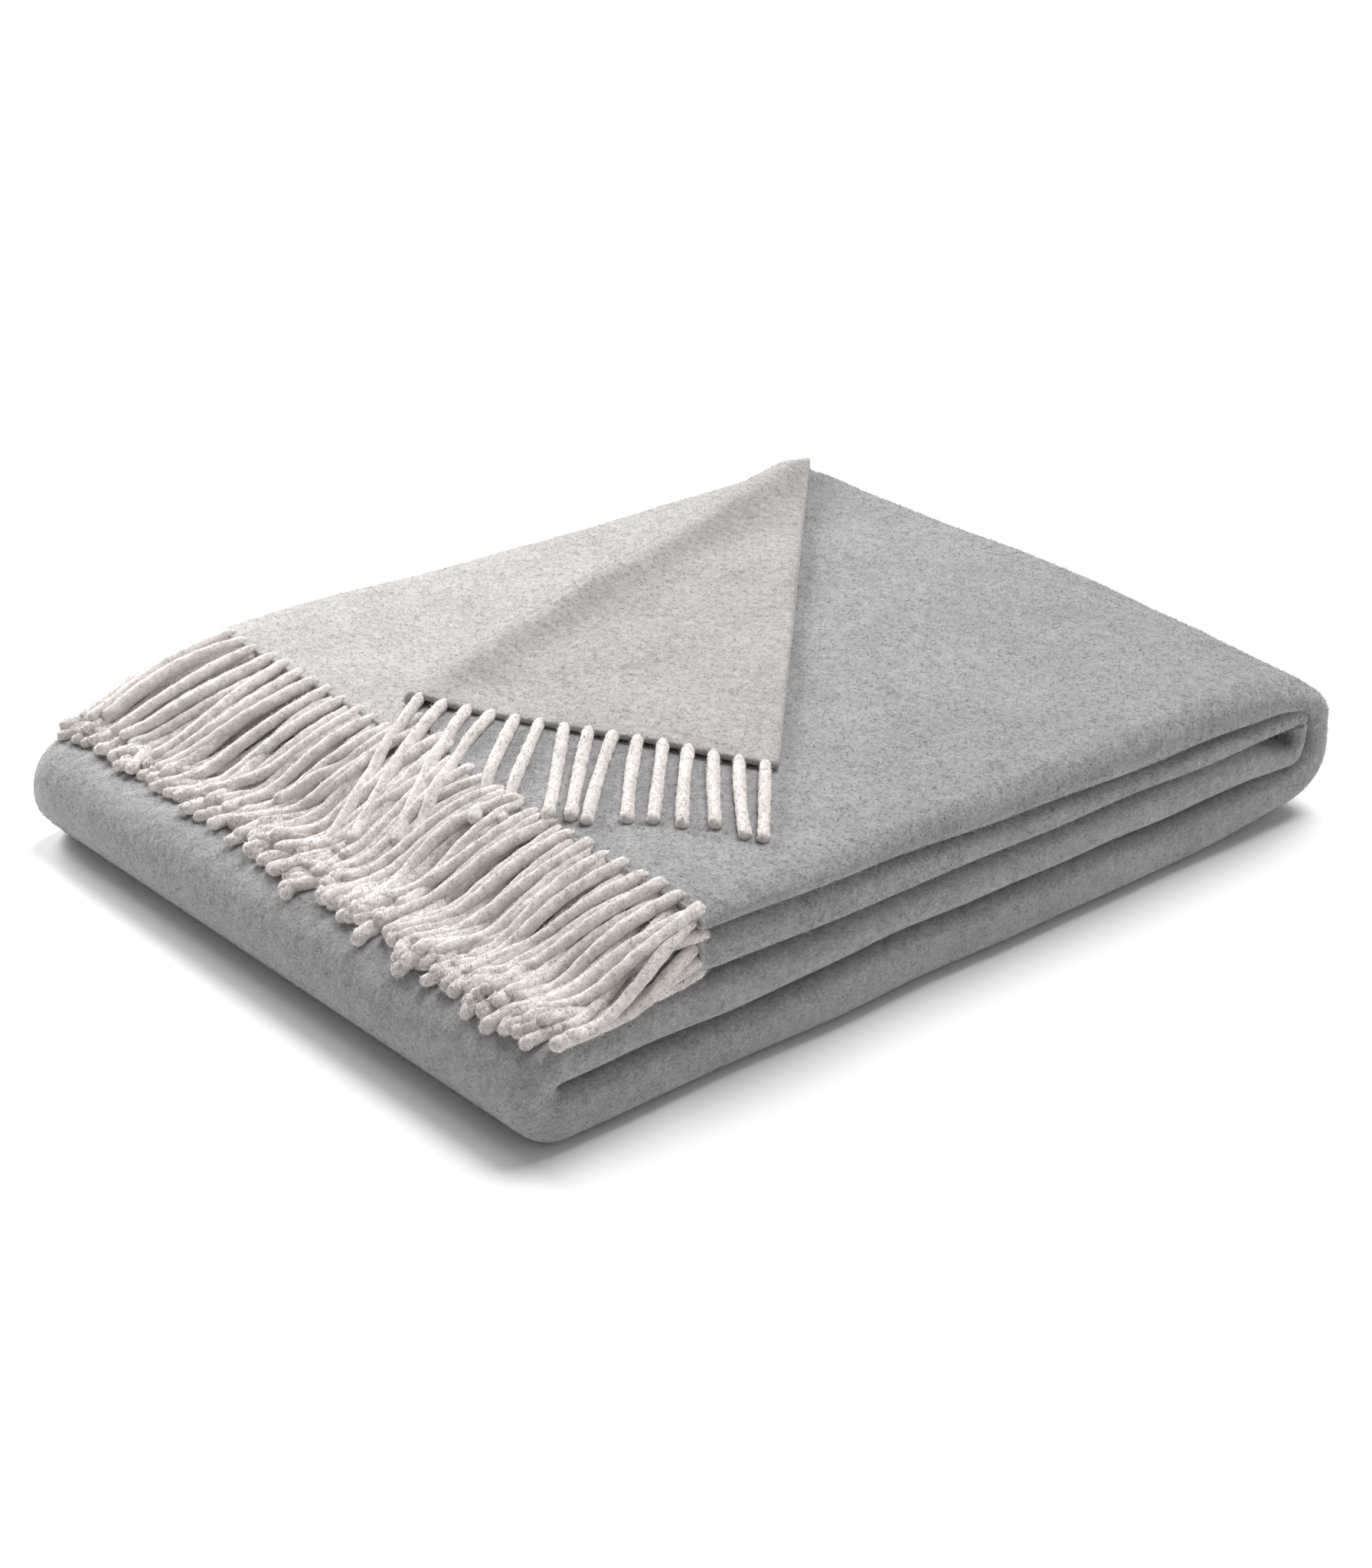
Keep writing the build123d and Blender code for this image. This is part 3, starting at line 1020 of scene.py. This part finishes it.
def nap(name, piece, sees_out, count, shades, length, rng, keep=None):
    """A piece of short loose fibres, each a closed spike, standing out of a piece's open faces.

    shades gives, for each slot of the piece, the materials its fibres are picked from.
    """
    roots, normals, slots = open_places(piece, sees_out, count, rng, keep)
    points = fibre_points(roots, normals, length, rng)
    first = np.arange(count)[:, None] * 4
    sides = ((0, 2, 1), (0, 1, 3), (1, 2, 3), (2, 0, 3))
    faces = np.concatenate([first + np.array(side) for side in sides], 0)
    materials = []
    for choices in shades:
        materials += [m for m in choices if m not in materials]
    picked = [shades[slot][rng.integers(len(shades[slot]))] for slot in slots]
    face_slots = np.tile([materials.index(m) for m in picked], len(sides))
    return new_piece(name, points.reshape(-1, 3) * 1000 - CORNER, faces, materials, face_slots)


# Floor, camera and lights

def white_floor():
    """Plain pale floor."""
    reach = 12.0
    corners = [(-reach, -reach, 0), (reach, -reach, 0), (reach, reach, 0), (-reach, reach, 0)]
    mesh = bpy.data.meshes.new("floor")
    mesh.from_pydata(corners, [], [(0, 1, 2, 3)])
    mesh.materials.append(plain_material("floor", (0.92, 0.92, 0.92), 0.9, 0.0))
    floor = bpy.data.objects.new("floor", mesh)
    floor.location.z = -0.0002
    bpy.context.scene.collection.objects.link(floor)


def camera_direction(azimuth, elevation):
    """Unit vector from the object towards a viewer; azimuth 0 looks along +Y."""
    a, e = math.radians(azimuth), math.radians(elevation)
    return np.array([math.sin(a) * math.cos(e), -math.cos(a) * math.cos(e), math.sin(e)])


def look_at(item, position, target):
    """Put a camera or light at a position, looking at a target."""
    item.location = Vector(position)
    item.rotation_euler = (Vector(target) - Vector(position)).to_track_quat("-Z", "Y").to_euler()


def add_camera():
    """The camera: a long lens, from the left front and above."""
    scene = bpy.context.scene
    camera = bpy.data.objects.new("camera", bpy.data.cameras.new("camera"))
    scene.collection.objects.link(camera)
    scene.camera = camera
    camera.data.lens = 67.06
    camera.data.sensor_width = 36
    target = place([192.56, 142.39, 30.0])
    distance = 1.158
    look_at(camera, target + distance * camera_direction(-40.8, 25.58), target)


def add_lamp(name, kind, energy, position, target):
    """A lamp that looks at a target. Returns its light, for its size."""
    lamp = bpy.data.objects.new(name, bpy.data.lights.new(name, kind))
    lamp.data.energy = energy
    bpy.context.scene.collection.objects.link(lamp)
    look_at(lamp, position, target)
    return lamp.data


def add_world():
    """Soft light from all round, which the camera sees as white."""
    world = bpy.data.worlds.new("world")
    bpy.context.scene.world = world
    world.use_nodes = True
    nodes, links = world.node_tree.nodes, world.node_tree.links
    background = nodes["Background"]
    background.inputs["Color"].default_value = (1, 1, 1, 1)
    path = nodes.new("ShaderNodeLightPath")
    mix = nodes.new("ShaderNodeMix")
    as_light, as_seen = 0.28, 1.0
    mix.inputs["A"].default_value = as_light
    mix.inputs["B"].default_value = as_seen
    links.new(path.outputs["Is Camera Ray"], mix.inputs["Factor"])
    links.new(mix.outputs["Result"], background.inputs["Strength"])


def studio():
    """Camera, lights and world."""
    add_camera()
    overhead = add_lamp("overhead", "SUN", 3.0, camera_direction(104, 62), (0, 0, 0))
    overhead.angle = math.radians(34)
    left_end = np.array([-0.10, 0.10, 0.07])
    behind = add_lamp("behind", "AREA", 6.5, left_end + camera_direction(-174, 27) * 0.75, left_end)
    behind.size = 0.3
    front = add_lamp("front", "AREA", 1.6, camera_direction(15, 18) * 1.3, (0, 0, 0.03))
    front.size = 0.8
    add_world()
    bpy.context.scene.view_settings.view_transform = "Standard"


def sheet_nodes():
    """CAD nodes that the folded sheet stands for."""
    return [name for name in frame["nodes"] if "fringe" not in name and name != "corner_flap"]


white_floor()
studio()
blanket = blanket_sheet([grey_face, cream_face])
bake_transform(blanket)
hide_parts(*sheet_nodes())

fringes = main_fringes(yarn)
for node, piece in fringes.items():
    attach(piece, "upper_half")
    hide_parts(node)

cover_pile()
# The turned corner's cream side takes the darker cream, painted shade.
flap, flap_hem = corner_sheet([grey_face, cream_painted_shade])
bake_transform(flap)
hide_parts("corner_flap")
tassels = flap_tassels(flap_hem, yarn)
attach(tassels, "corner_flap")
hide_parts("flap_fringe")

nap_rng = np.random.default_rng(31)
sees_out = open_air([blanket, flap, tassels, *fringes.values()])
cloth_look = (CLOTH_SHADES, CLOTH_FIBRES, nap_rng)
yarn_look = (YARN_SHADES, YARN_FIBRES, nap_rng)
parting = PARTING / 1000
upper_nap = nap("upper_nap", blanket, sees_out, UPPER_FIBRES, *cloth_look, lambda at: at.z > parting)
lower_nap = nap("lower_nap", blanket, sees_out, LOWER_FIBRES, *cloth_look, lambda at: at.z <= parting)
flap_nap = nap("flap_nap", flap, sees_out, FLAP_FIBRES, *cloth_look)
tassel_nap = nap("flap_fringe_nap", tassels, sees_out, FLAP_FRINGE_FIBRES, *yarn_look)
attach(tassel_nap, "corner_flap")
for node, piece in fringes.items():
    count = ROW_FIBRES[node.split("_")[0]]
    fringe_nap = nap(f"{node}_nap", piece, sees_out, count, *yarn_look)
    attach(fringe_nap, "upper_half")
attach(upper_nap, "upper_half")
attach(lower_nap, "lower_half")
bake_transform(flap_nap)
